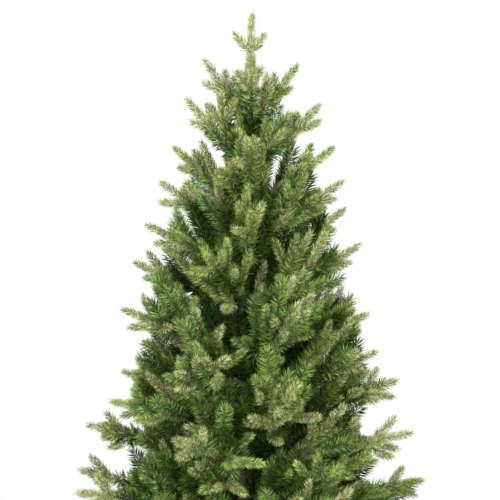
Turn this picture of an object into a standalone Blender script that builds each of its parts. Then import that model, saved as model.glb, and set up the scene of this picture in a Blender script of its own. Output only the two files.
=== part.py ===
"""An artificial spruce: a steel pole in a four-legged stand, with tiers of boughs and needle sprays round it.

Metres, +Z up. The origin is on the floor, on the pole's axis. +X is to the right of the front view, and -Y is
to its front.
"""

import math
import random
from collections import namedtuple

import bmesh
import bpy
import numpy as np
from mathutils import Matrix, Vector

# Driving sizes of the tree
TREE_HEIGHT = 2.10
LEADER_LEAN = 0.006  # how far the tip stands to the right of the pole
SOLID_GAP = 0.0003  # left between two pieces that touch
MERGE_DISTANCE = 0.00005

# The pole: three tubes, each plugged into the one below, with a collar at each tier
POLE_FOOT = 0.0653
POLE_TIP = 1.845
POLE_JOINTS = (0.79, 1.365)
POLE_RADII = (0.016, 0.0140, 0.0115)
COLLAR_RADIUS = 0.024
COLLAR_HEIGHT = 0.016
POLE_SIDES = 8

# The stand: a hub that takes the pole, and four pressed legs
HUB_RADIUS = 0.0215
HUB_BOTTOM = 0.060
HUB_FLOOR = 0.005
HUB_HEIGHT = 0.135
HUB_SIDES = 24
STAND_REACH = 0.340
STAND_LEGS = 4
STAND_TURN = math.radians(45)
LEG_THICKNESS = 0.022
LEG_DEPTH = 0.038
LEG_SHOULDER = 0.030
FOOT_LENGTH = 0.050
FOOT_DEPTH = 0.026

# A tier: height of its tips, how much higher they are on the right, reach to the left and to the right, rise of
# its boughs in degrees, and their bearings from +X
Tier = namedtuple("Tier", "tips skew left right rise bearings")
TIERS = (
    Tier(1.951, -0.008, 0.140, 0.147, 56, (0, 88, 180, 272)),
    Tier(1.829, -0.010, 0.196, 0.216, 47, (350, 95, 185)),
    Tier(1.697, 0.000, 0.236, 0.262, 40, (8, 172, 268)),
    Tier(1.590, 0.000, 0.278, 0.286, 35, (352, 92, 182)),
    Tier(1.485, 0.027, 0.316, 0.296, 32, (12, 120, 188, 270)),
    Tier(1.374, 0.027, 0.362, 0.336, 28, (355, 70, 165, 250)),
    Tier(1.198, -0.009, 0.385, 0.370, 22, (15, 105, 190, 290)),
    Tier(1.048, 0.035, 0.394, 0.379, 18, (345, 65, 170, 240)),
    Tier(0.963, 0.027, 0.412, 0.456, 15, (5, 100, 200, 285)),
    Tier(0.848, -0.008, 0.496, 0.484, 12, (350, 60, 135, 178, 250)),
    Tier(0.684, -0.015, 0.566, 0.545, 9, (20, 90, 155, 215, 300)),
    Tier(0.510, 0.000, 0.640, 0.640, 6, (0, 72, 128, 180, 255)),
)
SIDE_REACH = 0.94  # the cosine of the bearing up to which a bough's tip is kept on the front view's outline
BARE_TIERS = 1  # the lowest tiers, whose boughs show as bare rods next to the pole
BARE_REACH = 0.135

# Limbs
BOUGH_RADIUS = 0.0068
BOUGH_SIDES = 6
STEM_RADII = (0.0064, 0.0042)
TWIG_RADII = (0.0032, 0.0022)

# Twigs: where they leave the stem, and how they stand to it
TWIGS_LEAST = 1
TWIG_SPACING = 0.100
TWIG_RANGE = (0.12, 0.80)  # of the stem's length
TWIG_FORK = (40, 54)
TWIG_LIFTS = (8, -80, 85, -15)  # above or below the level of the stem, in turn
TWIG_WOBBLE = 10
TWIG_SHORTEST = 0.075
TWIG_LONGEST = 0.34
TWIG_SHRINK = 0.88  # what a twig is shortened by, again and again, until it fits its space
TWIG_TESTS = (0.4, 0.6, 0.8, 1.0)  # where along a twig its space is looked at
TWIG_DROOP = 0.09  # the furthest that a twig hangs below its bough's hinge
OUTLINE_SHARE = 0.97  # twigs end this far out under the tips of their tier

# The crown's dense body, as heights and reaches from its top down: past it only the boughs' own ends stand out
BODY = (
    (1.97, 0.02),
    (1.86, 0.11),
    (1.50, 0.24),
    (1.20, 0.33),
    (0.95, 0.39),
    (0.80, 0.42),
    (0.64, 0.46),
    (0.52, 0.54),
    (0.40, 0.52),
)
BESIDE_BOUGH = 0.045  # what is this near to its bough may stand out of the body

# The pair that stands beside each bough's tip
END_ROLLS = (60, 228)
END_FORK = 38
END_BACK = 0.125
END_LENGTH = 0.120

# The leader's side shoots: bearing from +X, lean from the upright, foot along the leader, and length
LEADER_SHOOTS = (
    (180, 42, 0.51, 0.085),
    (5, 38, 0.51, 0.080),
    (168, 56, 0.07, 0.075),
    (10, 34, 0.12, 0.075),
    (265, 40, 0.08, 0.100),
    (85, 38, 0.14, 0.095),
)

# Needles, which stand in rings of three round a shoot's core
CORE_RADIUS = 0.019
CORE_TAPER = 0.6  # how much slimmer the core is at a shoot's tip
NEEDLE_REACH = 0.058
NEEDLE_SHARE = 0.40  # the longest that a needle is, for the length of a short shoot
NEEDLE_TAPER = 0.50  # how much shorter the needles are at a shoot's tip
NEEDLE_SPREAD = (0.85, 1.0)
NEEDLE_LEAN = 0.62  # how far a needle leans forward, for its reach outwards
NEEDLE_STEP = 0.052  # from one ring to the next
NEEDLE_TWIST = math.radians(45)
BARE_FOOT = 0.030
END_NEEDLE = 0.022
SPACE_MARGIN = 0.003  # what a needle keeps from the edge of its mass's space
TWIG_MARGIN = 0.011  # what a shoot keeps from it
SEED = 11

# Each material's colour and roughness
PAINTS = {
    "pole_paint": ((0.030, 0.060, 0.032), 0.45),
    "stand_paint": ((0.020, 0.045, 0.028), 0.40),
    "bough_wire": ((0.050, 0.055, 0.025), 0.60),
    "needles": ((0.085, 0.150, 0.035), 0.55),
}


def clear_scene():
    for obj in list(bpy.data.objects):
        bpy.data.objects.remove(obj)


def painted(name):
    """A plain Principled material."""
    colour, roughness = PAINTS[name]
    material = bpy.data.materials.new(name)
    material.use_nodes = True
    shader = material.node_tree.nodes["Principled BSDF"]
    shader.inputs["Base Color"].default_value = (*colour, 1)
    shader.inputs["Roughness"].default_value = roughness
    return material


def mesh_object(name, bm, collection, material):
    """Stores a bmesh as a named object."""
    mesh = bpy.data.meshes.new(name)
    bm.to_mesh(mesh)
    bm.free()
    mesh.materials.append(material)
    obj = bpy.data.objects.new(name, mesh)
    collection.objects.link(obj)
    return obj


# ---------------------------------------------------------------- pole and stand


def turned(name, profile, sides, collection, material):
    """A solid of revolution. Its profile runs down the outer side, from the axis to the axis."""
    bm = bmesh.new()
    points = [bm.verts.new((radius, 0, height)) for radius, height in profile]
    for a, b in zip(points, points[1:]):
        bm.edges.new((a, b))
    obj = mesh_object(name, bm, collection, material)
    screw = obj.modifiers.new("turn", "SCREW")
    screw.steps = screw.render_steps = sides
    screw.use_merge_vertices = True
    screw.merge_threshold = MERGE_DISTANCE
    screw.use_smooth_shade = False
    return obj


def pole_radius(height):
    """Radius of the tube that the pole has at this height."""
    return POLE_RADII[sum(height > joint for joint in POLE_JOINTS)]


def make_pole(collection, material):
    """The pole, with a collar at each tier's hinges."""
    profile = [(0, POLE_TIP), (POLE_RADII[-1], POLE_TIP)]
    steps = [(collar_height(tier) + COLLAR_HEIGHT / 2, "collar") for tier in TIERS]
    steps += [(joint, "joint") for joint in POLE_JOINTS]
    for height, kind in sorted(steps, reverse=True):
        if kind == "joint":
            section = POLE_JOINTS.index(height)
            profile += [(POLE_RADII[section + 1], height), (POLE_RADII[section], height)]
            continue
        low = height - COLLAR_HEIGHT
        profile += [(pole_radius(height), height), (COLLAR_RADIUS, height)]
        profile += [(COLLAR_RADIUS, low), (pole_radius(low), low)]
    profile += [(POLE_RADII[0], POLE_FOOT), (0, POLE_FOOT)]
    return turned("trunk_pole", profile, POLE_SIDES, collection, material)


def make_hub(collection, material):
    """A cup that the pole stands in, held off the floor by the legs."""
    top = HUB_BOTTOM + HUB_HEIGHT
    bore = (POLE_RADII[0] + SOLID_GAP) / math.cos(math.pi / HUB_SIDES)
    floor = HUB_BOTTOM + HUB_FLOOR
    profile = [(0, floor), (bore, floor), (bore, top), (HUB_RADIUS, top)]
    profile += [(HUB_RADIUS, HUB_BOTTOM), (0, HUB_BOTTOM)]
    return turned("stand_hub", profile, HUB_SIDES, collection, material)


def leg_outline():
    """The leg seen from its side, from the hub out: a pressed arm that falls to a flat foot."""
    inner = HUB_RADIUS + SOLID_GAP
    top = HUB_BOTTOM + HUB_HEIGHT - LEG_SHOULDER / 2
    return (
        (inner, top),
        (inner + LEG_SHOULDER, top),
        (STAND_REACH - FOOT_LENGTH / 2, FOOT_DEPTH + LEG_SHOULDER / 4),
        (STAND_REACH, FOOT_DEPTH),
        (STAND_REACH, 0.0),
        (STAND_REACH - FOOT_LENGTH, 0.0),
        (inner + LEG_SHOULDER, top - LEG_DEPTH),
        (inner, top - LEG_DEPTH),
    )


def make_leg(number, collection, material):
    """One leg: the outline as a flat curve, extruded to the leg's thickness and stood up."""
    name = f"stand_leg_{number + 1}"
    curve = bpy.data.curves.new(name, "CURVE")
    curve.dimensions = "2D"
    curve.fill_mode = "BOTH"
    curve.extrude = LEG_THICKNESS / 2
    outline = leg_outline()
    spline = curve.splines.new("POLY")
    spline.points.add(len(outline) - 1)
    for point, (x, y) in zip(spline.points, outline):
        point.co = (x, y, 0, 1)
    spline.use_cyclic_u = True
    curve.materials.append(material)
    leg = bpy.data.objects.new(name, curve)
    collection.objects.link(leg)
    turn = STAND_TURN + number * math.tau / STAND_LEGS
    leg.matrix_world = Matrix.Rotation(turn, 4, "Z") @ Matrix.Rotation(math.radians(90), 4, "X")
    return leg


# ---------------------------------------------------------------- the crown's rule

# A bough: its label, its tier, where it leaves the pole and the way that the collar faces there, its tip, and
# how far out it is bare
Bough = namedtuple("Bough", "label tier root facing tip bare")
# A shoot: where it starts, which way it grows, its length, its radii at the foot and at the tip
Shoot = namedtuple("Shoot", "start way length radii")


def level(bearing):
    """The level direction at a bearing from +X."""
    return Vector((math.cos(bearing), math.sin(bearing), 0))


def reach_at(tier, out):
    """How far a tier's bough reaches along a level direction: its tip lies under the front view's outline."""
    share = (1 + out.x) / 2
    return (tier.left + (tier.right - tier.left) * share) / max(abs(out.x), SIDE_REACH)


def collar_height(tier):
    """Where a tier's boughs are hinged to the pole."""
    reach = (tier.left + tier.right) / 2
    return tier.tips - (reach - COLLAR_RADIUS) * math.tan(math.radians(tier.rise))


def bough_at(tier_number, number):
    """The straight line of one bough, from the flat of the collar that it is hinged to, out to its tip."""
    tier = TIERS[tier_number]
    bearing = math.radians(tier.bearings[number])
    out = level(bearing)
    flat = math.tau / POLE_SIDES
    facing = level((bearing // flat + 0.5) * flat)
    root = out * (COLLAR_RADIUS * math.cos(flat / 2) + SOLID_GAP) / out.dot(facing)
    root.z = collar_height(tier)
    tip = out * reach_at(tier, out)
    tip.z = tier.tips + tier.skew * out.x
    bare = BARE_REACH if tier_number >= len(TIERS) - BARE_TIERS else 0.0
    return Bough(f"{tier_number + 1:02d}_{number + 1}", tier, root, facing, tip, bare)


def forked(way, fork, roll):
    """The way turned by fork degrees, towards the side that roll names: 0 is left, 90 is up."""
    side = Vector((0, 0, 1)).cross(way).normalized()
    up = way.cross(side)
    across = side * math.cos(math.radians(roll)) + up * math.sin(math.radians(roll))
    return way * math.cos(math.radians(fork)) + across * math.sin(math.radians(fork))


def leaning(bearing, lean):
    """A direction that leans from the upright towards a bearing, in degrees."""
    way = level(math.radians(bearing)) * math.sin(math.radians(lean))
    way.z = math.cos(math.radians(lean))
    return way


def shoots_of(foot, bough, space, dice):
    """The shoots of one mass: its stem, a pair beside the tip, and twigs as long as its space allows."""
    line = bough.tip - foot
    way = line.normalized()
    shoots = [Shoot(foot, way, line.length, STEM_RADII)]
    end = bough.tip - way * END_BACK
    for roll in END_ROLLS:
        side_way = forked(way, END_FORK, roll + dice.uniform(-TWIG_WOBBLE, TWIG_WOBBLE))
        length = room_for(end, side_way, END_LENGTH, space)
        if length:
            shoots.append(Shoot(end, side_way, length, TWIG_RADII))
    count = TWIGS_LEAST + round(line.length / TWIG_SPACING)
    first, last = TWIG_RANGE
    for k in range(count):
        start = foot + line * (first + (last - first) * k / count)
        lift = TWIG_LIFTS[k % len(TWIG_LIFTS)] + dice.uniform(-TWIG_WOBBLE, TWIG_WOBBLE)
        roll = lift if k % 2 else 180 - lift
        twig_way = forked(way, dice.uniform(*TWIG_FORK), roll)
        length = room_for(start, twig_way, TWIG_LONGEST, space, bough)
        if length:
            shoots.append(Shoot(start, twig_way, length, TWIG_RADII))
    return shoots


def leader_shoots(foot, tip):
    """The leader: one upright shoot, with a pair below its tip and a whorl at its foot."""
    line = tip - foot
    shoots = [Shoot(foot, line.normalized(), line.length, STEM_RADII)]
    for bearing, lean, share, length in LEADER_SHOOTS:
        shoots.append(Shoot(foot + line * share, leaning(bearing, lean), length, TWIG_RADII))
    return shoots


# ---------------------------------------------------------------- spaces


class Space:
    """The room of one mass: all that is nearer to its own line than to another's, and clear of the pole."""

    def __init__(self, own, lines):
        self.own = lines[own]
        self.others = [line for name, line in lines.items() if name != own]

    def holds(self, points, margin=SPACE_MARGIN):
        """Whether each point is inside, with this much to spare."""
        mine = distance_to_line(points, *self.own)
        inside = np.hypot(points[:, 0], points[:, 1]) > COLLAR_RADIUS + SPACE_MARGIN
        inside |= points[:, 2] > POLE_TIP + SPACE_MARGIN
        for line in self.others:
            inside &= distance_to_line(points, *line) > mine + 2 * margin
        return inside


def distance_to_line(points, a, b):
    """Distance of each point from the segment from a to b."""
    a, b = np.array(a), np.array(b)
    line = b - a
    share = np.clip((points - a) @ line / (line @ line), 0, 1)
    return np.linalg.norm(points - a - share[:, None] * line, axis=1)


def room_for(start, way, length, space, bough=None):
    """The longest that a shoot can be, up to this length, in the mass's space and, where its bough is given,
    inside the crown. It is 0 if that is too short."""
    while length > TWIG_SHORTEST:
        points = [start + way * length * share for share in TWIG_TESTS]
        fits = bough is None or inside_crown(points[-1], bough)
        if fits and space.holds(np.array(points), TWIG_MARGIN).all():
            return length
        length *= TWIG_SHRINK
    return 0


def inside_crown(point, bough):
    """Whether a point is within its tier's reach and the crown's body, and not hanging below its bough."""
    out = Vector((point.x, point.y, 0))
    fits = out.length < OUTLINE_SHARE * reach_at(bough.tier, out.normalized())
    fits = fits and point.z > bough.root.z - TWIG_DROOP
    heights, reaches = zip(*reversed(BODY))
    if out.length < np.interp(point.z, heights, reaches):
        return fits
    return fits and distance_to_line(np.array([point]), bough.root, bough.tip)[0] < BESIDE_BOUGH


# ---------------------------------------------------------------- needles


def core_rings(shoot):
    """The heights along a shoot where its rings of needles begin and end."""
    last = shoot.length - END_NEEDLE
    rings = max(2, round((last - BARE_FOOT) / NEEDLE_STEP))
    return [BARE_FOOT + (last - BARE_FOOT) * ring / rings for ring in range(rings + 1)]


def core_mesh(shoot, rings):
    """A three-sided core along +Z. It swells past its bare foot, twists, and ends in a last needle."""
    bare, last = rings[0], rings[-1]
    bm = bmesh.new()
    bmesh.ops.create_cone(
        bm, cap_ends=True, segments=3, radius1=shoot.radii[0], radius2=shoot.radii[1], depth=last
    )
    bmesh.ops.translate(bm, verts=bm.verts, vec=(0, 0, last / 2))
    for height in rings[:-1]:
        everything = bm.verts[:] + bm.edges[:] + bm.faces[:]
        bmesh.ops.bisect_plane(bm, geom=everything, plane_co=(0, 0, height), plane_no=(0, 0, 1))
    for vert in bm.verts:
        if vert.co.z > bare / 2:
            share = (vert.co.z - bare) / (last - bare)
            turn = math.atan2(vert.co.y, vert.co.x) + NEEDLE_TWIST * (len(rings) - 1) * share
            vert.co = level(turn) * CORE_RADIUS * (1 - CORE_TAPER * share) + Vector((0, 0, vert.co.z))
    end_face = max(bm.faces, key=lambda face: face.calc_center_median().z)
    bmesh.ops.poke(bm, faces=[end_face])["verts"][0].co = (0, 0, shoot.length)
    return bm


def needle_tip(middle, shoot, rings, dice):
    """Where the needle that stands on the middle of a face ends."""
    share = (middle.z - rings[0]) / (rings[-1] - rings[0])
    reach = min(NEEDLE_REACH, shoot.length * NEEDLE_SHARE) * (1 - NEEDLE_TAPER * share)
    reach *= dice.uniform(*NEEDLE_SPREAD)
    out = Vector((middle.x, middle.y, 0)).normalized()
    return out * reach + Vector((0, 0, middle.z + reach * NEEDLE_LEAN))


def spray_object(name, shoot, others, space, dice, collection, material, facing=None):
    """One shoot: its core, with each face past the bare foot drawn out into a needle that leans forward.
    A needle that would leave the mass's space or run into another shoot is left out."""
    rings = core_rings(shoot)
    bm = core_mesh(shoot, rings)
    place = Matrix.Translation(shoot.start) @ shoot.way.to_track_quat("Z", "X").to_matrix().to_4x4()
    sides = [face for face in bm.faces if rings[0] < face.calc_center_median().z < rings[-1]]
    tips = [place @ needle_tip(face.calc_center_median(), shoot, rings, dice) for face in sides]
    points = np.array(tips)
    fits = space.holds(points) & nearest_is_own(points, shoot, others)
    bmesh.ops.transform(bm, matrix=place, verts=bm.verts)
    for face, tip, keep in zip(sides, tips, fits):
        if keep:
            bmesh.ops.poke(bm, faces=[face])["verts"][0].co = tip
    if facing:
        square_foot(bm, shoot, facing)
    return mesh_object(name, bm, collection, material)


def nearest_is_own(points, shoot, others):
    """Whether each point is nearer to its own shoot than to any other, with a little to spare."""
    own = distance_to_line(points, shoot.start, shoot.start + shoot.way * shoot.length)
    nearest = np.ones(len(points), bool)
    for other in others:
        if other is not shoot:
            end = other.start + other.way * other.length
            nearest &= distance_to_line(points, other.start, end) > own + SPACE_MARGIN
    return nearest


def square_foot(bm, shoot, facing):
    """Slides the foot's corners along the limb until they lie flat on what carries it."""
    for vert in bm.verts:
        offset = vert.co - shoot.start
        if offset.dot(shoot.way) < shoot.radii[0] / 2:
            vert.co -= shoot.way * (offset.dot(facing) / shoot.way.dot(facing))


def make_bough(name, shoot, facing, collection, material):
    """A bare tapering limb from the collar to where its mass of foliage starts."""
    bm = bmesh.new()
    foot, tip = shoot.radii
    bmesh.ops.create_cone(
        bm, cap_ends=True, segments=BOUGH_SIDES, radius1=foot, radius2=tip, depth=shoot.length
    )
    bmesh.ops.translate(bm, verts=bm.verts, vec=(0, 0, shoot.length / 2))
    place = Matrix.Translation(shoot.start) @ shoot.way.to_track_quat("Z", "X").to_matrix().to_4x4()
    bmesh.ops.transform(bm, matrix=place, verts=bm.verts)
    square_foot(bm, shoot, facing)
    return mesh_object(name, bm, collection, material)


def keep_largest_body(mesh):
    """Keeps the largest closed shell of a mesh: loose scraps go, and sealed hollows are filled."""
    bm = bmesh.new()
    bm.from_mesh(mesh)
    left, shells = set(bm.verts), []
    while left:
        shell, edge_of_search = set(), [left.pop()]
        while edge_of_search:
            vert = edge_of_search.pop()
            shell.add(vert)
            near = {edge.other_vert(vert) for edge in vert.link_edges} & left
            left -= near
            edge_of_search.extend(near)
        shells.append(shell)
    shells.sort(key=len)
    for shell in shells[:-1]:
        bmesh.ops.delete(bm, geom=list(shell), context="VERTS")
    bmesh.ops.triangulate(bm, faces=bm.faces)
    bm.to_mesh(mesh)
    bm.free()


def is_closed(mesh):
    """Whether every edge of the mesh has two faces."""
    sides = np.empty(len(mesh.loops), np.int32)
    mesh.loops.foreach_get("edge_index", sides)
    return bool((np.bincount(sides, minlength=len(mesh.edges)) == 2).all())


def fuse(stem, group):
    """Unites a mass's stem with its collection of sprays into one solid, and removes the collection."""
    union = stem.modifiers.new("sprays", "BOOLEAN")
    union.operation = "UNION"
    union.operand_type = "COLLECTION"
    union.collection = group
    for solver in ("EXACT", "MANIFOLD"):
        union.solver = solver
        bpy.context.view_layer.update()
        graph = bpy.context.evaluated_depsgraph_get()
        made = bpy.data.meshes.new_from_object(stem.evaluated_get(graph))
        if is_closed(made):
            break
    stem.modifiers.clear()
    stem.data = made
    for obj in list(group.objects):
        bpy.data.objects.remove(obj)
    bpy.data.collections.remove(group)
    keep_largest_body(stem.data)


def make_mass(name, shoots, facing, space, dice, tree, material):
    """One mass of foliage: its stem with needles, and the sprays of its other shoots fused to it."""
    stem = spray_object(name, shoots[0], shoots, space, dice, tree, material, facing)
    group = bpy.data.collections.new(name + "_sprays")
    bpy.context.scene.collection.children.link(group)
    for shoot in shoots[1:]:
        spray_object(name + "_spray", shoot, shoots, space, dice, group, material)
    fuse(stem, group)


def main():
    clear_scene()
    tree = bpy.data.collections.new("artificial_spruce")
    bpy.context.scene.collection.children.link(tree)
    paints = {name: painted(name) for name in PAINTS}
    make_pole(tree, paints["pole_paint"])
    make_hub(tree, paints["stand_paint"])
    for number in range(STAND_LEGS):
        make_leg(number, tree, paints["stand_paint"])

    boughs = [bough_at(t, n) for t, tier in enumerate(TIERS) for n in range(len(tier.bearings))]
    leader_foot = Vector((0, 0, POLE_TIP + SOLID_GAP))
    leader_tip = Vector((LEADER_LEAN, 0, TREE_HEIGHT))
    lines = {bough.label: (bough.root, bough.tip) for bough in boughs}
    lines["leader"] = (leader_foot, leader_tip)

    shoots = leader_shoots(leader_foot, leader_tip)
    space, dice = Space("leader", lines), random.Random(SEED)
    make_mass("foliage_leader", shoots, Vector((0, 0, 1)), space, dice, tree, paints["needles"])
    for number, bough in enumerate(boughs, start=1):
        space, dice = Space(bough.label, lines), random.Random(SEED + number)
        foot, facing = bough.root, bough.facing
        if bough.bare:
            way = (bough.tip - bough.root).normalized()
            limb = Shoot(foot, way, bough.bare, (BOUGH_RADIUS, STEM_RADII[0]))
            make_bough(f"bough_{bough.label}", limb, facing, tree, paints["bough_wire"])
            foot, facing = foot + way * (bough.bare + SOLID_GAP), None
        shoots = shoots_of(foot, bough, space, dice)
        make_mass(f"foliage_{bough.label}", shoots, facing, space, dice, tree, paints["needles"])


main()
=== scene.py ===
"""The looks of the artificial spruce: moulded sprays and brush-like ones on wire boughs, a pole and a stand.

Metres and degrees, +Z up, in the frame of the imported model. Boughs stand where the model's rule puts them.
"""

import math
import random
from collections import namedtuple

import bmesh
import bpy
import numpy as np
from mathutils import Matrix, Vector


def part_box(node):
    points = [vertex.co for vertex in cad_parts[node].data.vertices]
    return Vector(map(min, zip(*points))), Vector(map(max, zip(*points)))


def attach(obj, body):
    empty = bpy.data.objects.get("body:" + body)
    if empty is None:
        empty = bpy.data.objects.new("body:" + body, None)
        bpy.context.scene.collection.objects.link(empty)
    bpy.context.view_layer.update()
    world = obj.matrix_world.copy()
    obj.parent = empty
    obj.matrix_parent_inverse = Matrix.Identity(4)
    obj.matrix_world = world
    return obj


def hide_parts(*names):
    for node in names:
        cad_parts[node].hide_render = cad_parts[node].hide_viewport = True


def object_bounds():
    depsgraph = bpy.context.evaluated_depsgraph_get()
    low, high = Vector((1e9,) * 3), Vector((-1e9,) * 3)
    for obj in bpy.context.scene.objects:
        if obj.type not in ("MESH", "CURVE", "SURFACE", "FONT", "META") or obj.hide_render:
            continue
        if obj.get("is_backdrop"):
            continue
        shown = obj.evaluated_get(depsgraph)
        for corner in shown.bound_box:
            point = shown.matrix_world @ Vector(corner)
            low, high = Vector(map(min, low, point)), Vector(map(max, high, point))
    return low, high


# ---- sizes of the model, as in its source

TREE_HEIGHT = 2.10
LEADER_LEAN = 0.006
SOLID_GAP = 0.0003  # between solids that touch on the real tree
POLE_TIP = 1.845
POLE_JOINTS = (0.79, 1.365)
POLE_RADII = (0.016, 0.0140, 0.0115)
POLE_SIDES = 8
COLLAR_RADIUS = 0.024
COLLAR_HEIGHT = 0.016
HUB_RADIUS = 0.0215
HUB_BOTTOM = 0.060
HUB_FLOOR = 0.005
HUB_HEIGHT = 0.135
STAND_REACH = 0.340
STAND_LEGS = 4
STAND_TURN = math.radians(45)
LEG_THICKNESS = 0.022
LEG_DEPTH = 0.038
LEG_SHOULDER = 0.030
FOOT_LENGTH = 0.050
FOOT_DEPTH = 0.026

# A tier: height of its tips, how much higher they are on the right, reach to the left and to the right, rise
# of its boughs, and their bearings from +X
Tier = namedtuple("Tier", "tips skew left right rise bearings")
TIERS = (
    Tier(1.951, -0.008, 0.140, 0.147, 56, (0, 88, 180, 272)),
    Tier(1.829, -0.010, 0.196, 0.216, 47, (350, 95, 185)),
    Tier(1.697, 0.000, 0.236, 0.262, 40, (8, 172, 268)),
    Tier(1.590, 0.000, 0.278, 0.286, 35, (352, 92, 182)),
    Tier(1.485, 0.027, 0.316, 0.296, 32, (12, 120, 188, 270)),
    Tier(1.374, 0.027, 0.362, 0.336, 28, (355, 70, 165, 250)),
    Tier(1.198, -0.009, 0.385, 0.370, 22, (15, 105, 190, 290)),
    Tier(1.048, 0.035, 0.394, 0.379, 18, (345, 65, 170, 240)),
    Tier(0.963, 0.027, 0.412, 0.456, 15, (5, 100, 200, 285)),
    Tier(0.848, -0.008, 0.496, 0.484, 12, (350, 60, 135, 178, 250)),
    Tier(0.684, -0.015, 0.566, 0.545, 9, (20, 90, 155, 215, 300)),
    Tier(0.510, 0.000, 0.640, 0.640, 6, (0, 72, 128, 180, 255)),
)
SIDE_REACH = 0.94  # a reach is seen from the front: a bough turned from the side is longer, up to 1 / this
BARE_TIERS = 1  # the lowest tiers, whose boughs are bare up to BARE_REACH from their foot
BARE_REACH = 0.135
BOUGH_RADIUS = 0.0068
STEM_RADII = (0.0064, 0.0042)
TWIG_RADII = (0.0032, 0.0022)
TWIGS_LEAST = 1
TWIG_SPACING = 0.100
TWIG_RANGE = (0.12, 0.80)
TWIG_FORK = (40, 54)
TWIG_LIFTS = (8, -80, 85, -15)
TWIG_WOBBLE = 10
TWIG_SHORTEST = 0.075
TWIG_LONGEST = 0.34
TWIG_SHRINK = 0.88
TWIG_TESTS = (0.4, 0.6, 0.8, 1.0)
TWIG_DROOP = 0.09
OUTLINE_SHARE = 0.97
# The crown's dense body: heights and reaches, from its top down. Past it only the boughs' own ends stand out
BODY = (
    (1.97, 0.02),
    (1.86, 0.11),
    (1.50, 0.24),
    (1.20, 0.33),
    (0.95, 0.39),
    (0.80, 0.42),
    (0.64, 0.46),
    (0.52, 0.54),
    (0.40, 0.52),
)
BESIDE_BOUGH = 0.045  # what is this near to its bough may stand out of the body
# The same for the finer growth, which leaves the sky open between the lower boughs
FINE_BODY = (
    (1.97, 0.02),
    (1.86, 0.11),
    (1.50, 0.24),
    (1.20, 0.33),
    (0.95, 0.37),
    (0.92, 0.33),
    (0.84, 0.33),
    (0.80, 0.39),
    (0.73, 0.39),
    (0.70, 0.37),
    (0.64, 0.43),
    (0.57, 0.56),
    (0.40, 0.56),
)
FINE_BESIDE = 0.018

# The pair beside a bough's tip: its rolls and fork, how far behind the tip it starts, and its length
END_ROLLS = (60, 228)
END_FORK = 38
END_BACK = 0.125
END_LENGTH = 0.120
# The leader's shoots: bearing, lean, where on the leader they start, as a share, and length
LEADER_SHOOTS = (
    (180, 42, 0.51, 0.085),
    (5, 38, 0.51, 0.080),
    (168, 56, 0.07, 0.075),
    (10, 34, 0.12, 0.075),
    (265, 40, 0.08, 0.100),
    (85, 38, 0.14, 0.095),
)
LEADER_STEM = 0.4  # how far up the leader its wire goes, as a share
SPACE_MARGIN = 0.003  # how far growth keeps from the pole, and finer twigs from the edge of a mass's space
TWIG_MARGIN = 0.011  # how far the model's twigs keep from that edge
TIP_MARGIN = -0.050  # tips cross into the next mass's space by this much
SEED = 11
FINE_SEED = 17000

# What a shoot keeps to: its least length, how far it stays from the edge of its mass's space, the crown's
# body, and how near to its bough it may stand out of that
Limits = namedtuple("Limits", "shortest margin body beside")
MODEL_LIMITS = Limits(TWIG_SHORTEST, TWIG_MARGIN, BODY, BESIDE_BOUGH)
FINE_TWIG_LIMITS = Limits(0.080, SPACE_MARGIN, FINE_BODY, FINE_BESIDE)
TIP_LIMITS = Limits(0.060, TIP_MARGIN, FINE_BODY, FINE_BESIDE)

# ---- sizes of the finer growth

# A row of growth along a limb: distance from one to the next, how far from the limb's foot and end it keeps,
# its fork, its lengths, the limits it keeps to, and its rolls in turn; 90 is up
Row = namedtuple("Row", "spacing first last fork lengths limits rolls")
FINE_TWIGS = Row(
    0.050, 0.020, 0.060, (28, 50), (0.15, 0.23), FINE_TWIG_LIMITS, (85, 20, 160, 55, 205, 125, 335, 265)
)
LIMB_TIPS = Row(
    0.034, 0.010, 0.070, (18, 40), (0.185, 0.245), TIP_LIMITS, (60, 195, 120, 345, 90, 250, 30, 290, 150)
)
TWIG_TIPS = Row(0.042, 0.015, 0.050, (18, 38), (0.170, 0.230), TIP_LIMITS, (10, 170, 80, 200, 340, 110, 265))
FINE_RADII = (0.0020, 0.0014)
ROLL_WOBBLE = 14
ROW_PULL = 3.0  # how much the growth along a limb is turned to the bough's way
END_PULL = 3.0  # how much a limb's end is turned to it, by a bend
END_BEND = 0.5  # the sideways shift of that end, for its length and turn
UPWARD_NARROW = 0.12  # how much the fork of growth that points up is narrowed
TIP_LIFT = 0.05  # how much the growth along a limb is turned upward
INNER_LIFT = 0.35  # and how much more well inside the crown
TIP_CURL = (0.02, 0.12)  # how far a tip's end is bent up, for its length
TIP_SWAY = 0.06  # and how far to a side, at most
OPEN_HEIGHT = 1.77  # above this the crown is open, and this share of the tips is left out
OPEN_SHARE = 0.6

# Which kind and tone a tip gets
PAINTED_SHADE_DEPTH = 0.18  # how far in from the outline the darkest sprays, painted shade, begin
PAINTED_LIGHT_HEIGHT = 1.90  # a tier with higher tips has the painted light of its outline all through, inside as well
MOULDED_SHARE = (0.10, 0.54)  # the chance of a moulded tip well inside the crown and at its outline
UPWARD_BONUS = 0.15  # what an upward tip adds to that chance
TOP_HEIGHT = 1.65  # and what a bough whose tip is above this height adds
TOP_BONUS = 0.12
MOULDED_TILT = 25  # how far a moulded tip's pair is rolled out of the level, at most

# The tips round each collar: how many, their lean from the pole, their lengths, the longest for the tier's
# reach, and the chance of a moulded one in the tiers above TOP_HEIGHT
COLLAR_TIPS = 8
COLLAR_TIPS_LEAN = (8, 34)
COLLAR_TIPS_LENGTH = (0.14, 0.20)
COLLAR_TIPS_SHARE = 0.90
COLLAR_MOULDED_TOP = 0.50
POLE_WRAPS = (0.56, 0.80, 1.05, 1.30, 1.55, 1.82)  # heights between the needle strips wound round the pole

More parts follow.
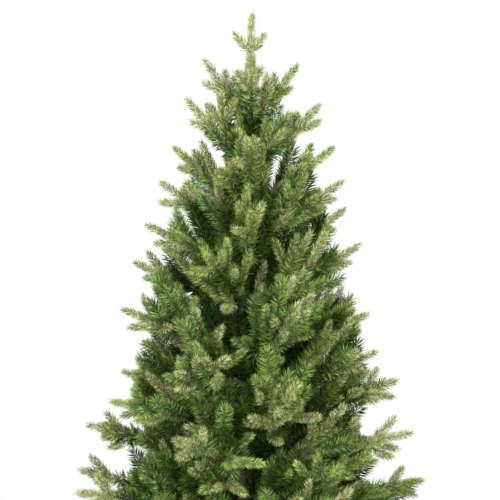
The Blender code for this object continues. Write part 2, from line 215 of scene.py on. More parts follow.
# A moulded spray: a middle shoot and, for some, a pair beside it
SPRAY_PAIRED = 0.2  # the chance of a pair
SPRAY_FORK = (40, 52)
SPRAY_SHARE = (0.28, 0.42)  # where the pair leaves the middle shoot
SPRAY_PAIR = (0.50, 0.68)  # length of the pair, for the middle shoot's
SPRAY_CURL = 0.5  # how much of a tip's curl the pair has
END_SPRAY = 0.165  # length of the spray at a limb's end, and the most that it takes of the limb
END_SHARE = 0.75
FINE_END_SPRAY = 0.140  # the same for a finer twig
FINE_END_SHARE = 0.8
WIRE_SHORT = 0.8  # how much of the end spray has no wire in it
PAIR_SHARE = (0.72, 0.95)  # length of the pair beside a bough's tip, for the model's, and its share of curl
PAIR_CURL = 0.6
LEADER_PAINTED_LIGHT = 0.3  # the leader's shoots that start above this share of it are pale: painted light at the top

# A needle form: how many stand in a ring round the shoot, distance from ring to ring, bare foot, length and
# lean at the shoot's foot and at its tip, width, spread of the lean, radii of the core
Form = namedtuple("Form", "ring step bare lengths leans width spread core")
MOULDED = Form(10, 0.0052, 0.003, (0.0245, 0.0190), (48, 20), 0.0027, 2.5, (0.0020, 0.0012))
BRUSHED = Form(10, 0.0060, 0.004, (0.0370, 0.0310), (60, 20), 0.0030, 2, (0.0016, 0.0011))
INNER_BRUSHED = Form(9, 0.0064, 0.004, (0.0385, 0.0330), (60, 20), 0.0036, 4, (0.0016, 0.0011))
WRAPPED = Form(7, 0.0060, 0.004, (0.0400, 0.0400), (66, 60), 0.0044, 14, (0.0, 0.0))
POLE_WRAP = Form(24, 0.0067, 0.000, (0.0450, 0.0450), (62, 50), 0.0048, 12, (0.0200, 0.0140))
RING_TURN = 9  # how far each ring is turned from the one before
RING_JITTER = 0.07  # spread of a needle's place along the shoot, in rings
TURN_JITTER = 0.08  # and round it, in radians
LENGTH_JITTER = (0.92, 1.06)
LEAST_RINGS = 3
LEAST_RUN = 0.3  # the rings take up at least this much of the shoot
NEEDLE_ROOT = 0.7  # how far from the shoot's middle a needle starts, for the core's radius
NEEDLE_DOME = 0.005  # how far from a shoot's end the needles begin to lean towards it
NEEDLE_BELLY = 0.42  # where a needle is widest
NEEDLE_FOLD = 0.42  # depth of its fold, for its width
NEEDLE_ARCH = 0.07  # how far its belly is bent back, for its length
NEAR_UPRIGHT = 0.9  # a way with more rise than this takes +X to find its sides
# Seeds of the needles' random draws: each tone has its own, counted on from these
MOULDED_DRAWS, BRUSHED_DRAWS, WRAPPED_DRAWS, POLE_DRAWS = 100, 200, 300, 400

# ---- sizes of the metal parts' finer forms

EDGE = 0.001  # how far an edge of the pole and the socket is cut back
JOINT_LIP = 0.0006  # how far a tube's rolled rim stands out, where it begins to slope back, and where it ends
JOINT_LIP_HEIGHT = 0.005
JOINT_LIP_FOOT = 0.007
COLLAR_EDGE = 0.0015
POLE_FACETS = 32
SMOOTH_BELOW = 35  # edges sharper than this are drawn sharp
CHEEK_SIZE = (0.018, 0.0018, 0.015)  # a hinge's cheek: out, across and up
CHEEK_EDGE = 0.0006
CHEEK_OUT = 0.006  # its middle beyond the collar's edge, and to the side of the bough
CHEEK_SIDE = 0.0086
PIN_OUT = 0.009
PIN_RADIUS = 0.0018
PIN_LENGTH = 0.0225
ROD_EDGE = 0.25  # how far a rod's ends are cut back, for its radius
WIND_PITCH = 0.006  # from one turn of the strip on a bare bough to the next
WIND_DEPTH = 0.10  # how deep the dips between its turns are, for the radius
SOCKET_WALL = 0.0012  # how much thinner the socket is between its rims
SOCKET_EDGE = 0.0015
SOCKET_RIM = 0.006  # height of a rim, and where its slope to the wall ends
SOCKET_SLOPE = 0.008
SOCKET_FACETS = 40
SCREWS = 3
SCREW_DROP = 0.016  # below the socket's top
# A thumb screw's rod and nut: radius, length, sides, and how far the middle is beyond the socket's wall
SCREW_RODS = ((0.0030, 0.018, 14, 0.008), (0.0065, 0.005, 6, 0.0016))
WING_SIZE = (0.014, 0.0030, 0.020)
WING_OUT = 0.022
WING_EDGE = 0.0012
UNDERSIDE = 5  # the leg's sloping lower edge, as counted in leg_outline
CHANNEL_WALL = 0.003  # a leg's wall beside its hollow, and how the hollow's floor is moved in: outward and up
CHANNEL_DEPTH = (0.004, 0, 0.016)
LEG_EDGE = 0.0016
LEG_SHARP = 25  # edges of a leg sharper than this are cut back
CAP_SIZE = (0.030, LEG_THICKNESS + 0.004, FOOT_DEPTH + 0.002)  # a foot cap: along, across and up
CAP_BACK = 0.012  # its middle from the leg's tip
CAP_EDGE = 0.004
FLOOR_RADIUS = 2.4
FLOOR_DROP = 0.001  # below the feet

# ---- colours

# Each kind of spray comes in a few tones: linear colour, and how often it is dealt well inside the crown and
# at its outline. The darker tones dealt well inside are painted shade, the paler ones at the outline painted
# light
Tone = namedtuple("Tone", "colour inner outer")
# pale, dealt mostly at the outline, is painted light; leaf, dealt mostly well inside, is painted shade
MOULDED_TONES = {
    "pale": Tone((0.425, 0.480, 0.212), 0.08, 0.56),
    "olive": Tone((0.370, 0.447, 0.158), 0.36, 0.32),
    "leaf": Tone((0.300, 0.403, 0.115), 0.56, 0.12),
}
# deep and dusk, dealt well inside, are painted shade; grass and moss stand at the outline
BRUSHED_TONES = {
    "deep": Tone((0.038, 0.083, 0.008), 0.28, 0.01),
    "dusk": Tone((0.060, 0.102, 0.012), 0.32, 0.03),
    "grass": Tone((0.186, 0.306, 0.077), 0.32, 0.58),
    "moss": Tone((0.218, 0.290, 0.070), 0.08, 0.38),
}

# How a kind's needles differ about their tone: the darkest and lightest, for the tone's colour
MOULDED_SHADES = (0.34, 1.50)
BRUSHED_SHADES = (0.28, 1.55)
NEEDLE_GRAIN = 24
PAINTED_SHADE_TONES = ("deep", "dusk")  # brush-like tips of these tones, the painted shade inside the crown, are the longer, sparser ones

Growth = namedtuple("Growth", "start way length bend")  # a shoot, with the sideways shift of its end


def material(
    name, dark, light, roughness, grain, bump=0.0, bump_grain=1.0, metallic=0.0, gloss=0.5, by_needle=False
):
    """A Principled material whose colour drifts between two tones with a noise, apart for each needle if so
    asked, and whose surface, when a bump is given, is a little uneven at its own, finer grain. Grains are
    features to the metre."""
    made = bpy.data.materials.new(name)
    made.use_nodes = True
    nodes, links = made.node_tree.nodes, made.node_tree.links
    shader = nodes["Principled BSDF"]
    shader.inputs["Roughness"].default_value = roughness
    shader.inputs["Metallic"].default_value = metallic
    shader.inputs["Specular IOR Level"].default_value = gloss
    place = nodes.new("ShaderNodeTexCoord")
    noise = nodes.new("ShaderNodeTexNoise")
    noise.inputs["Scale"].default_value = grain
    noise.inputs["Detail"].default_value = 3.0
    ramp = nodes.new("ShaderNodeValToRGB")
    ramp.color_ramp.elements[0].position = 0.40
    ramp.color_ramp.elements[1].position = 0.60
    ramp.color_ramp.elements[0].color = (*dark, 1)
    ramp.color_ramp.elements[1].color = (*light, 1)
    links.new(place.outputs["Object"], noise.inputs["Vector"])
    if by_needle:
        noise.noise_dimensions = "4D"
        geometry = nodes.new("ShaderNodeNewGeometry")
        links.new(geometry.outputs["Random Per Island"], noise.inputs["W"])
    links.new(noise.outputs["Fac"], ramp.inputs["Fac"])
    links.new(ramp.outputs["Color"], shader.inputs["Base Color"])
    if bump:
        fine = nodes.new("ShaderNodeTexNoise")
        fine.inputs["Scale"].default_value = bump_grain
        relief = nodes.new("ShaderNodeBump")
        relief.inputs["Strength"].default_value = bump
        relief.inputs["Distance"].default_value = 0.001
        links.new(place.outputs["Object"], fine.inputs["Vector"])
        links.new(fine.outputs["Fac"], relief.inputs["Height"])
        links.new(relief.outputs["Normal"], shader.inputs["Normal"])
    return made


def needle_material(name, colour, shades, roughness, gloss):
    """A material for needles of one tone, each needle in its own shade of it."""
    dark, light = (tuple(min(1.0, channel * shade) for channel in colour) for shade in shades)
    return material(name, dark, light, roughness, NEEDLE_GRAIN, gloss=gloss, by_needle=True)


# ---- the model's rule

Bough = namedtuple("Bough", "label tier root tip bare")


def level(bearing):
    """The level direction at a bearing from +X."""
    return Vector((math.cos(bearing), math.sin(bearing), 0))


def reach_at(tier, out):
    """How far a tier's bough reaches along a level direction."""
    share = (1 + out.x) / 2
    return (tier.left + (tier.right - tier.left) * share) / max(abs(out.x), SIDE_REACH)


def collar_height(tier):
    """Where a tier's boughs are hinged to the pole."""
    reach = (tier.left + tier.right) / 2
    return tier.tips - (reach - COLLAR_RADIUS) * math.tan(math.radians(tier.rise))


def bough_at(tier_number, number):
    """The straight line of one bough, from the flat of its collar out to its tip."""
    tier = TIERS[tier_number]
    bearing = math.radians(tier.bearings[number])
    out = level(bearing)
    flat = math.tau / POLE_SIDES
    facing = level((bearing // flat + 0.5) * flat)
    root = out * (COLLAR_RADIUS * math.cos(flat / 2) + SOLID_GAP) / out.dot(facing)
    root.z = collar_height(tier)
    tip = out * reach_at(tier, out)
    tip.z = tier.tips + tier.skew * out.x
    bare = BARE_REACH if tier_number >= len(TIERS) - BARE_TIERS else 0.0
    return Bough(f"{tier_number + 1:02d}_{number + 1}", tier, root, tip, bare)


def forked(way, fork, roll):
    """The way turned by fork degrees, towards the side that roll names: 0 is left, 90 is up."""
    side = Vector((0, 0, 1)).cross(way).normalized()
    up = way.cross(side)
    across = side * math.cos(math.radians(roll)) + up * math.sin(math.radians(roll))
    return way * math.cos(math.radians(fork)) + across * math.sin(math.radians(fork))


def leaning(bearing, lean):
    """A direction that leans from the upright towards a bearing, in degrees."""
    way = level(math.radians(bearing)) * math.sin(math.radians(lean))
    way.z = math.cos(math.radians(lean))
    return way


class Space:
    """The room of one mass: all that is nearer to its own line than to another's, and clear of the pole."""

    def __init__(self, own, lines):
        names = [own] + [name for name in lines if name != own]
        self.feet = np.array([lines[name][0] for name in names])
        self.runs = np.array([lines[name][1] for name in names]) - self.feet

    def distances(self, points):
        """Distance of each point to each line, the mass's own first."""
        offset = points[:, None] - self.feet
        share = np.clip((offset * self.runs).sum(2) / (self.runs**2).sum(1), 0, 1)
        return np.linalg.norm(offset - share[..., None] * self.runs, axis=2)

    def holds(self, points, margin):
        """Whether each point is inside, with this much to spare."""
        far = self.distances(points)
        inside = np.hypot(points[:, 0], points[:, 1]) > COLLAR_RADIUS + SPACE_MARGIN
        inside |= points[:, 2] > POLE_TIP + SPACE_MARGIN
        return inside & (far[:, 1:].min(axis=1) > far[:, 0] + 2 * margin)


def room_for(start, way, length, space, bough=None, limits=MODEL_LIMITS):
    """The longest that a shoot can be, up to this length, in the mass's space and, where its bough is given,
    inside the crown. It is 0 if that is too short."""
    while length > limits.shortest:
        points = np.array([start + way * length * share for share in TWIG_TESTS])
        fits = bough is None or inside_crown(points[-1], bough, space, limits)
        if fits and space.holds(points, limits.margin).all():
            return length
        length *= TWIG_SHRINK
    return 0


def inside_crown(point, bough, space, limits):
    """Whether a point is within its tier's reach and, away from its bough, within the crown's body, and not
    hanging below its bough."""
    out = Vector((point[0], point[1], 0))
    fits = out.length < OUTLINE_SHARE * reach_at(bough.tier, out.normalized())
    fits = fits and point[2] > bough.root.z - TWIG_DROOP
    heights, reaches = zip(*reversed(limits.body))
    if out.length < np.interp(point[2], heights, reaches):
        return fits
    return fits and space.distances(point[None])[0, 0] < limits.beside


def shoots_of(foot, bough, space, dice):
    """The pair beside the bough's tip and the twigs along it, as the model has them."""
    line = bough.tip - foot
    way = line.normalized()
    end = bough.tip - way * END_BACK
    pair, twigs = [], []
    for roll in END_ROLLS:
        side_way = forked(way, END_FORK, roll + dice.uniform(-TWIG_WOBBLE, TWIG_WOBBLE))
        length = room_for(end, side_way, END_LENGTH, space)
        if length:
            pair.append(straight(end, side_way, length))
    count = TWIGS_LEAST + round(line.length / TWIG_SPACING)
    first, last = TWIG_RANGE
    for k in range(count):
        start = foot + line * (first + (last - first) * k / count)
        lift = TWIG_LIFTS[k % len(TWIG_LIFTS)] + dice.uniform(-TWIG_WOBBLE, TWIG_WOBBLE)
        roll = lift if k % 2 else 180 - lift
        twig_way = forked(way, dice.uniform(*TWIG_FORK), roll)
        length = room_for(start, twig_way, TWIG_LONGEST, space, bough)
        if length:
            twigs.append(straight(start, twig_way, length))
    return pair, twigs


def straight(start, way, length):
    """A shoot without a bend."""
    return Growth(start, way, length, Vector())


# ---- finer growth


class Crown:
    """All the growth, sorted by what it is made of."""

    def __init__(self):
        self.limbs = []  # wires, each with its radii at its foot and end
        self.pole = []  # lengths of the pole that are wound with needle strips
        self.wraps = {tone: [] for tone in BRUSHED_TONES}  # the wires, by the tone of the strip round them
        self.moulded = {tone: [] for tone in MOULDED_TONES}
        self.brushed = {tone: [] for tone in BRUSHED_TONES}


def dealt(tones, outness, dice):
    """One tone's name, by how far out the spray stands: darker tones inside the crown as painted shade, paler
    ones at its outline as painted light.
    """
    weights = [tone.inner + (tone.outer - tone.inner) * outness for tone in tones.values()]
    return dice.choices(list(tones), weights)[0]


def curled(way, length, dice):
    """The shift of a tip's end: mostly upward, a little to a side."""
    side = Vector((0, 0, 1)).cross(way).normalized()
    rise = dice.uniform(*TIP_CURL) * length
    return way.cross(side) * rise + side * dice.uniform(-TIP_SWAY, TIP_SWAY) * length


def add_spray(crown, tone, growth, dice, tilt=0.0):
    """A moulded spray: the middle shoot and, for some, a pair at its left and right, but for the tilt, that
    leaves it at about its lower third."""
    shoots = crown.moulded[tone]
    shoots.append(growth)
    if dice.random() > SPRAY_PAIRED:
        return
    share = dice.uniform(*SPRAY_SHARE)
    start = growth.start + growth.way * growth.length * share + growth.bend * share**2
    for roll in (0, 180):
        way = forked(growth.way, dice.uniform(*SPRAY_FORK), roll + tilt)
        length = growth.length * dice.uniform(*SPRAY_PAIR)
        shoots.append(Growth(start, way, length, curled(way, length * SPRAY_CURL, dice)))


def heading_of(limb, bough, pull):
    """The limb's way, pulled towards the bough's, so that a whole bough points outwards."""
    return (limb.way + (bough.tip - bough.root).normalized() * pull).normalized()


def end_spray(limb, length, bough):
    """The spray at a limb's end, which bends outwards."""
    start = limb.start + limb.way * (limb.length - length)
    turned = heading_of(limb, bough, END_PULL) - limb.way
    return Growth(start, limb.way, length, turned * length * END_BEND)


def row_along(limb, row, bough, dice):
    """Where each of a row's growths starts on a limb, which way it goes, and how much it points up."""
    heading = heading_of(limb, bough, ROW_PULL)
    count = int((limb.length - row.first - row.last) / row.spacing)
    offset = dice.randrange(len(row.rolls))
    for k in range(count):
        start = limb.start + limb.way * (row.first + (k + dice.random()) * row.spacing)
        roll = row.rolls[(k + offset) % len(row.rolls)] + dice.uniform(-ROLL_WOBBLE, ROLL_WOBBLE)
        upward = max(0.0, math.sin(math.radians(roll)))
        way = forked(heading, dice.uniform(*row.fork) * (1 - UPWARD_NARROW * upward), roll)
        lift = TIP_LIFT + INNER_LIFT * (1 - outness_of(start, bough.tier))
        yield start, (way + Vector((0, 0, lift))).normalized(), upward


def add_tips(crown, limb, row, bough, space, dice):
    """Tips all round a limb, moulded or brushed, each as long as it can be in the mass's space."""
    for start, way, upward in row_along(limb, row, bough, dice):
        if start.z > OPEN_HEIGHT and dice.random() < OPEN_SHARE:
            continue
        bend = curled(way, 1.0, dice)
        length = room_for(start, way + bend, dice.uniform(*row.lengths), space, bough, row.limits)
        if not length:
            continue
        tip = Growth(start, way, length, bend * length)
        outness = outness_of(start + way * length, bough.tier)
        chance = MOULDED_SHARE[0] + (MOULDED_SHARE[1] - MOULDED_SHARE[0]) * outness + UPWARD_BONUS * upward
        if bough.tip.z > TOP_HEIGHT:
            chance += TOP_BONUS
        if dice.random() < chance:
            tone = dealt(MOULDED_TONES, outness, dice)
            add_spray(crown, tone, tip, dice, dice.uniform(-MOULDED_TILT, MOULDED_TILT))
        else:
            crown.brushed[dealt(BRUSHED_TONES, outness, dice)].append(tip)


def add_wire(crown, limb, radii, end, bough, dice):
    """The wire of a limb up to its end spray, wound with needle strips."""
    wire = straight(limb.start, limb.way, limb.length - end * WIRE_SHORT)
    crown.limbs.append((wire, radii))
    outness = outness_of(limb.start + limb.way * limb.length / 2, bough.tier)
    crown.wraps[dealt(BRUSHED_TONES, outness, dice)].append(wire)


def outness_of(point, tier):
    """1 at the crown's outline and all through its top tier, down to 0 well inside it."""
    # The top tier counts as outline all through, so its tones are painted light.
    if tier.tips > PAINTED_LIGHT_HEIGHT:
        return 1.0
    out = Vector((point.x, point.y, 0))
    depth = reach_at(tier, out.normalized()) - out.length
    return min(1.0, max(0.0, 1 - depth / PAINTED_SHADE_DEPTH))


def grow_bough(crown, bough, foot, space, model_dice, dice):
    """One mass: its stem and twigs, finer twigs along them, tips along all and a spray at the end of each."""
    pair, twigs = shoots_of(foot, bough, space, model_dice)
    line = bough.tip - foot
    stem = straight(foot, line.normalized(), line.length)
    for limb, radii in [(stem, STEM_RADII)] + [(twig, TWIG_RADII) for twig in twigs]:
        end = min(END_SPRAY, limb.length * END_SHARE)
        add_wire(crown, limb, radii, end, bough, dice)
        add_tips(crown, limb, LIMB_TIPS, bough, space, dice)
        for start, way, _ in row_along(limb, FINE_TWIGS, bough, dice):
            length = room_for(start, way, dice.uniform(*FINE_TWIGS.lengths), space, bough, FINE_TWIGS.limits)
            if length:
                grow_fine_twig(crown, straight(start, way, length), bough, space, dice)
        spray = end_spray(limb, end, bough)
        tone = dealt(MOULDED_TONES, outness_of(limb.start + limb.way * limb.length, bough.tier), dice)
        if limb is stem:
            crown.moulded[tone].append(spray)
            for shoot in pair:
                length = shoot.length * dice.uniform(*PAIR_SHARE)
                bend = curled(shoot.way, length * PAIR_CURL, dice)
                crown.moulded[tone].append(Growth(shoot.start, shoot.way, length, bend))
        else:
            add_spray(crown, tone, spray, dice)


def grow_collar_tips(crown, tier, dice):
    """A ring of tips on a tier's collar, that rise close to the pole and hide it."""
    for number in range(COLLAR_TIPS):
        bearing = 360 / COLLAR_TIPS * (number + dice.random())
        way = leaning(bearing, dice.uniform(*COLLAR_TIPS_LEAN))
        start = level(math.radians(bearing)) * COLLAR_RADIUS
        start.z = collar_height(tier)
        length = min(dice.uniform(*COLLAR_TIPS_LENGTH), COLLAR_TIPS_SHARE * tier.left)
        tip = Growth(start, way, length, curled(way, length, dice))
        chance = COLLAR_MOULDED_TOP if tier.tips > TOP_HEIGHT else MOULDED_SHARE[0]
        moulded = dice.random() < chance
        kind, tones = (crown.moulded, MOULDED_TONES) if moulded else (crown.brushed, BRUSHED_TONES)
        kind[dealt(tones, outness_of(start, tier), dice)].append(tip)


def wrap_pole(crown):
    """Needle strips wound round the pole, within the crown."""
    for low, high in zip(POLE_WRAPS, POLE_WRAPS[1:]):
        crown.pole.append(straight(Vector((0, 0, low)), Vector((0, 0, 1)), high - low))


def grow_fine_twig(crown, twig, bough, space, dice):
    """A finer twig: its wire, tips along it and a moulded spray at its end."""
    end = min(FINE_END_SPRAY, twig.length * FINE_END_SHARE)
    add_wire(crown, twig, FINE_RADII, end, bough, dice)
    add_tips(crown, twig, TWIG_TIPS, bough, space, dice)
    spray = end_spray(twig, end, bough)
    add_spray(crown, dealt(MOULDED_TONES, outness_of(spray.start, bough.tier), dice), spray, dice)


def grow_leader(crown, foot, tip):
    """The leader: one upright shoot, with a pair halfway up it and a whorl near its foot."""
    line = tip - foot
    way = line.normalized()
    crown.limbs.append((straight(foot, way, line.length * LEADER_STEM), STEM_RADII))
    # The leader and its upper pair are pale: painted light at the top.
    crown.moulded["pale"].append(straight(foot, way, line.length))
    for bearing, lean, share, length in LEADER_SHOOTS:
        tone = "pale" if share > LEADER_PAINTED_LIGHT else "olive"
        crown.moulded[tone].append(straight(foot + line * share, leaning(bearing, lean), length))


def grow_crown():
    """The whole crown, by the model's rule."""
    crown = Crown()
    boughs = [bough_at(t, n) for t, tier in enumerate(TIERS) for n in range(len(tier.bearings))]
    leader_foot = Vector((0, 0, POLE_TIP + SOLID_GAP))
    leader_tip = Vector((LEADER_LEAN, 0, TREE_HEIGHT))
    lines = {bough.label: (bough.root, bough.tip) for bough in boughs}
    lines["leader"] = (leader_foot, leader_tip)
    grow_leader(crown, leader_foot, leader_tip)
    for number, bough in enumerate(boughs, start=1):
        foot = bough.root
        if bough.bare:
            foot = foot + (bough.tip - foot).normalized() * (bough.bare + SOLID_GAP)
        model_dice, dice = random.Random(SEED + number), random.Random(FINE_SEED + number)
        grow_bough(crown, bough, foot, Space(bough.label, lines), model_dice, dice)
    for tier in TIERS:
        grow_collar_tips(crown, tier, random.Random(FINE_SEED - round(tier.tips * 1000)))
    wrap_pole(crown)
    return crown, boughs


# ---- needles and wires as meshes


def unit(vectors):
    """The vectors at length 1."""
    return vectors / np.linalg.norm(vectors, axis=1)[:, None]


def crosswise(ways):
    """Two directions square to each way."""
    side = unit(np.cross(ways, np.where(np.abs(ways[:, 2:]) > NEAR_UPRIGHT, (1.0, 0, 0), (0, 0, 1.0))))
    return side, np.cross(side, ways)


def columns(growths):
    """The growths' starts, ways, lengths and bends, as arrays."""
    return [np.array(column) for column in zip(*growths)]


def needle_mesh(growths, form, seed):
    """(points, faces) of every needle on these growths: each a pointed blade, folded along its middle."""
    rng = np.random.default_rng(seed)
    starts, ways, lengths, bends = columns(growths)
    # How many rings each shoot has, up to where the last needles end at its tip
    last = form.lengths[1] * math.cos(math.radians(form.leans[1]))
    runs = np.maximum(lengths - form.bare - last, LEAST_RUN * lengths)
    rings = np.maximum(LEAST_RINGS, np.round(runs / form.step)).astype(int)
    counts = rings * form.ring
    which = np.repeat(np.arange(len(growths)), counts)
    total = len(which)
    order = np.arange(total) - np.repeat(np.cumsum(counts) - counts, counts)
    ring = order // form.ring
    # Where each needle stands on its shoot, and which way the shoot goes there
    share = (ring + 1 + rng.normal(0, RING_JITTER, total)) / rings[which]
    along = (form.bare + share * runs[which]) / lengths[which]
    way = unit(ways[which] + 2 * along[:, None] * bends[which] / lengths[which, None])
    middle = starts[which] + ways[which] * (along * lengths[which])[:, None]
    middle = middle + bends[which] * along[:, None] ** 2
    side, up = crosswise(way)
    # Which way the needle points
    turn = math.tau / form.ring * order + math.radians(RING_TURN) * ring
    turn = turn + rng.random(len(growths))[which] * math.tau
    turn += rng.normal(0, TURN_JITTER, total)
    out = side * np.cos(turn)[:, None] + up * np.sin(turn)[:, None]
    ending = np.exp((share - 1) * runs[which] / NEEDLE_DOME)
    lean = form.leans[0] + (form.leans[1] - form.leans[0]) * ending + rng.normal(0, form.spread, total)
    lean = np.radians(lean)[:, None]
    point = out * np.sin(lean) + way * np.cos(lean)
    # Its blade, turned about itself at random
    length = form.lengths[0] + (form.lengths[1] - form.lengths[0]) * share**2
    length = (length * rng.uniform(*LENGTH_JITTER, total))[:, None]
    core = (form.core[0] + (form.core[1] - form.core[0]) * share)[:, None] * NEEDLE_ROOT
    foot = middle + out * core
    across = unit(np.cross(point, way))
    roll = rng.uniform(0, math.pi, total)[:, None]
    flat = across * np.cos(roll) + np.cross(point, across) * np.sin(roll)
    ridge = np.cross(point, flat) * form.width * NEEDLE_FOLD
    belly = foot + (point * NEEDLE_BELLY - way * NEEDLE_ARCH) * length
    corners = (
        foot,
        belly - flat * form.width / 2 - ridge,
        foot + point * length,
        belly + flat * form.width / 2 - ridge,
    )
    points = np.stack(corners, axis=1).reshape(-1, 3)
    base = (np.arange(total) * 4)[:, None, None]
    return points, (base + np.array(((0, 1, 2), (0, 2, 3)))).reshape(-1, 3)


def tube_mesh(growths, radii, sides, step, twist):
    """(points, faces) of a tube along each growth, closed at its end by a point. Its cross-section turns by
    twist degrees a metre, which gives it the ridges of twisted wire."""
    points, faces, base = [], [], 0
    turn = np.arange(sides) * math.tau / sides
    starts, ways, lengths, bends = columns(growths)
    side, up = crosswise(ways)
    for k, (start, way, length, bend) in enumerate(zip(starts, ways, lengths, bends)):
        rings = max(2, round(length / step) + 1)
        share = np.linspace(0, 1, rings)[:, None]
        middle = start + way * length * share + bend * share**2
        radius = radii[k][0] + (radii[k][1] - radii[k][0]) * share
        angle = turn[None, :] + np.radians(twist) * length * share
        ring = np.cos(angle)[..., None] * side[k] + np.sin(angle)[..., None] * up[k]
        points.append((middle[:, None] + ring * radius[..., None]).reshape(-1, 3))
        points.append(middle[-1:] + way * radii[k][1])
        first = base + (np.arange(rings - 1) * sides)[:, None]
        low = first + np.arange(sides)
        next_low = first + np.roll(np.arange(sides), -1)
        faces += np.stack((low, next_low, next_low + sides, low + sides), axis=2).reshape(-1, 4).tolist()
        end = base + (rings - 1) * sides
        faces += [(end + n, end + (n + 1) % sides, base + rings * sides) for n in range(sides)]
        base += rings * sides + 1
    return np.concatenate(points), faces


def mesh_piece(name, shape, surface):
    """A piece of a shape, which is (points, faces). An array of triangles takes the fast way in."""
    points, faces = shape
    mesh = bpy.data.meshes.new(name)
    if isinstance(faces, np.ndarray):
        mesh.vertices.add(len(points))
        mesh.vertices.foreach_set("co", points.astype(np.float32).ravel())
        mesh.loops.add(faces.size)
        mesh.loops.foreach_set("vertex_index", faces.astype(np.int32).ravel())
        mesh.polygons.add(len(faces))
        mesh.polygons.foreach_set("loop_start", np.arange(0, faces.size, 3, dtype=np.int32))
        mesh.update(calc_edges=True)
        mesh.validate()
    else:
        mesh.from_pydata(points.tolist(), [], faces)
    return piece_of(name, mesh, surface)


def piece_of(name, mesh, surface):
    """A mesh object on the root body."""
    mesh.materials.append(surface)
    obj = bpy.data.objects.new(name, mesh)
    bpy.context.scene.collection.objects.link(obj)
    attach(obj, "root")
    return obj


def cut_back(growth, form):
    """The core of a shoot, which ends where its last needles begin."""
    share = 1 - form.lengths[1] / growth.length
    return Growth(growth.start, growth.way, growth.length * share, growth.bend * share**2)


def make_foliage(crown, nodes):
    """Every kind of spray in each of its tones, with the stems and wires that carry them. They replace the
    nodes together. It returns the boughs' material."""
    made = []  # name, shape, material and slot of each piece
    for number, (tone, growths) in enumerate(crown.moulded.items()):
        surface = needle_material(f"moulded_{tone}", MOULDED_TONES[tone].colour, MOULDED_SHADES, 0.50, 0.12)
        needles = needle_mesh(growths, MOULDED, MOULDED_DRAWS + number)
        made.append((f"moulded_needles_{tone}", needles, surface, "needles"))
    for number, (tone, growths) in enumerate(crown.brushed.items()):
        surface = needle_material(f"brushed_{tone}", BRUSHED_TONES[tone].colour, BRUSHED_SHADES, 0.38, 0.16)
        form = INNER_BRUSHED if tone in PAINTED_SHADE_TONES else BRUSHED
        tips = needle_mesh(growths, form, BRUSHED_DRAWS + number)
        wraps = needle_mesh(crown.wraps[tone], WRAPPED, WRAPPED_DRAWS + number)
        points = np.concatenate((tips[0], wraps[0]))
        faces = np.concatenate((tips[1], wraps[1] + len(tips[0])))
        made.append((f"brushed_strips_{tone}", (points, faces), surface, "needles"))
    strips = needle_mesh(crown.pole, POLE_WRAP, POLE_DRAWS)
    # The strips on the pole take the darkest tone: painted shade in the crown's middle.
    made.append(("pole_strips", strips, bpy.data.materials["brushed_deep"], "needles"))
    stems = [cut_back(growth, MOULDED) for growths in crown.moulded.values() for growth in growths]
    brown = material("moulded_stem", (0.260, 0.165, 0.055), (0.430, 0.270, 0.095), 0.55, 40, gloss=0.12)
    tubes = tube_mesh(stems, [MOULDED.core] * len(stems), sides=3, step=0.06, twist=0)
    made.append(("moulded_stems", tubes, brown, "bough"))
    cores = [cut_back(growth, BRUSHED) for growths in crown.brushed.values() for growth in growths]
    wire = material("twisted_wire", (0.050, 0.040, 0.020), (0.120, 0.085, 0.040), 0.40, 60)
    tubes = tube_mesh(cores, [BRUSHED.core] * len(cores), sides=3, step=0.03, twist=9000)
    made.append(("brushed_wires", tubes, wire, "bough"))
    wrap = material(
        "wrapped_wire", (0.030, 0.040, 0.016), (0.085, 0.075, 0.034), 0.55, 50, bump=0.5, bump_grain=700
    )
    limbs, radii = zip(*crown.limbs)
    made.append(("bough_wires", tube_mesh(limbs, radii, sides=5, step=0.011, twist=4200), wrap, "bough"))
    for name, shape, surface, slot in made:
        piece = mesh_piece(name, shape, surface)
        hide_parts(*nodes)
    return wrap


# ---- pole, boughs' feet and stand


def bmesh_piece(name, bm, surface):
    """A piece of what the bmesh holds, drawn smooth but for its sharp edges."""
    mesh = bpy.data.meshes.new(name)
    bmesh.ops.recalc_face_normals(bm, faces=bm.faces)
    for face in bm.faces:
        face.smooth = True
    bm.to_mesh(mesh)
    bm.free()
    mesh.set_sharp_from_angle(angle=math.radians(SMOOTH_BELOW))
    return piece_of(name, mesh, surface)


def lathed(name, profile, sides, surface):
    """A turned piece. Its profile is radii and heights, and starts and ends on the axis."""
    bm = bmesh.new()
    rings = []
    for radius, height in profile:
        if radius == 0:
            rings.append([bm.verts.new((0, 0, height))])
        else:
            turns = [math.tau * n / sides for n in range(sides)]
            rings.append([bm.verts.new((radius * math.cos(t), radius * math.sin(t), height)) for t in turns])
    for low, high in zip(rings, rings[1:]):
        for n in range(sides):
            below = [low[n % len(low)], low[(n + 1) % len(low)]]
            above = [high[(n + 1) % len(high)], high[n % len(high)]]
            bm.faces.new(list(dict.fromkeys(below + above)))
    return bmesh_piece(name, bm, surface)


def collar_profile(radius, top):
    """The steps of a collar with bevelled edges on a tube, from its top to its bottom."""
    bottom = top - COLLAR_HEIGHT
    return [
        (radius, top),
        (COLLAR_RADIUS - COLLAR_EDGE, top),
        (COLLAR_RADIUS, top - COLLAR_EDGE),
        (COLLAR_RADIUS, bottom + COLLAR_EDGE),
        (COLLAR_RADIUS - COLLAR_EDGE, bottom),
        (radius, bottom),
    ]


def joint_profile(thin, thick, top):
    """The steps from a tube to the thicker one that it is plugged into, whose rim is rolled outward."""
    return [
        (thin, top + EDGE),
        (thick - EDGE, top + EDGE),
        (thick + JOINT_LIP, top - EDGE),
        (thick + JOINT_LIP, top - JOINT_LIP_HEIGHT),
        (thick, top - JOINT_LIP_FOOT),
    ]


